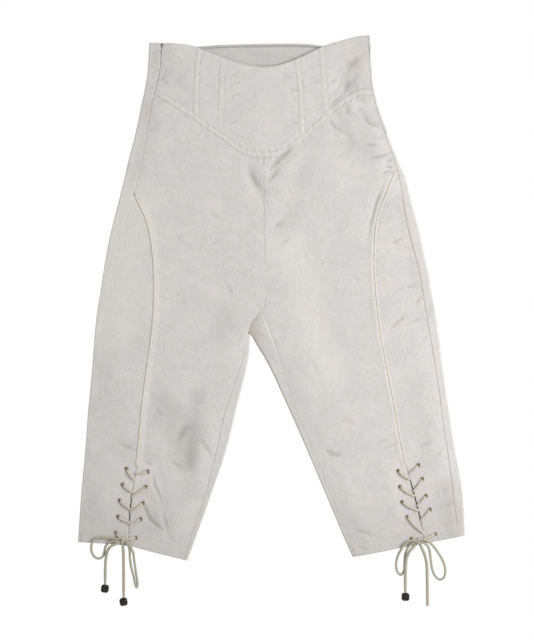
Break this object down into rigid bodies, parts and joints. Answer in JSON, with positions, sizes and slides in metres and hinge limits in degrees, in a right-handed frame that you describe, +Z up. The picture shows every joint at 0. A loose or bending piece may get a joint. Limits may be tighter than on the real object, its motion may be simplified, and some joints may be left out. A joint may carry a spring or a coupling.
{
  "type": "lace-up cropped pants",
  "caption": "Cropped pants in ivory brocade, laid flat: corset-style waist with boning channels, side zip, and piped leg seams that open into laced slits with bows.",
  "frame": {"origin": "the middle of the cloth's underside, on the surface it lies on", "axes": "+Y from the hems to the waist, +X towards the wearer's left, +Z up out of the front"},
  "size_m": [0.599, 0.8842, 0.0148],
  "materials": {
    "brocade": "tone-on-tone ivory brocade, soft satin sheen",
    "piping": "corded piping in plain ivory satin",
    "zip_tape": "concealed zip, ivory coil and tape",
    "zip_slider": "nickel, half matt",
    "eyelet": "antique bronze",
    "lace": "round waxed cotton cord, cream",
    "bead": "dark bronze, faceted and half bright"
  },
  "bodies": {
    "root": {"waist_front_right_side": "brocade", "waist_front_right_mid": "brocade", "waist_front_centre": "brocade", "waist_front_left_mid": "brocade", "waist_front_left_side": "brocade", "boning_channel_right_outer": "brocade", "boning_channel_right_inner": "brocade", "boning_channel_left_inner": "brocade", "boning_channel_left_outer": "brocade", "waist_seam_welt": "brocade", "waist_back": "brocade", "leg_front_right": "brocade", "leg_side_right": "brocade", "leg_back_right": "brocade", "leg_front_left": "brocade", "leg_side_left": "brocade", "leg_back_left": "brocade", "piping_right": "piping", "piping_left": "piping", "side_zip": "zip_tape", "side_zip_slider": "zip_slider", "eyelet_right_outer_1": "eyelet", "eyelet_right_outer_2": "eyelet", "eyelet_right_outer_3": "eyelet", "eyelet_right_outer_4": "eyelet", "eyelet_right_outer_5": "eyelet", "eyelet_right_inner_1": "eyelet", "eyelet_right_inner_2": "eyelet", "eyelet_right_inner_3": "eyelet", "eyelet_right_inner_4": "eyelet", "eyelet_right_inner_5": "eyelet", "eyelet_left_outer_1": "eyelet", "eyelet_left_outer_2": "eyelet", "eyelet_left_outer_3": "eyelet", "eyelet_left_outer_4": "eyelet", "eyelet_left_outer_5": "eyelet", "eyelet_left_inner_1": "eyelet", "eyelet_left_inner_2": "eyelet", "eyelet_left_inner_3": "eyelet", "eyelet_left_inner_4": "eyelet", "eyelet_left_inner_5": "eyelet", "lace_right": "lace", "lace_left": "lace", "bow_right_knot": "lace", "bow_left_knot": "lace", "bow_right_loop_outer": "lace", "bow_right_loop_inner": "lace", "bow_right_end_outer": "lace", "bow_right_end_inner": "lace", "bow_left_loop_outer": "lace", "bow_left_loop_inner": "lace", "bow_left_end_outer": "lace", "bow_left_end_inner": "lace", "bead_right_outer": "bead", "bead_right_inner": "bead", "bead_left_inner": "bead"}
  },
  "joints": []
}
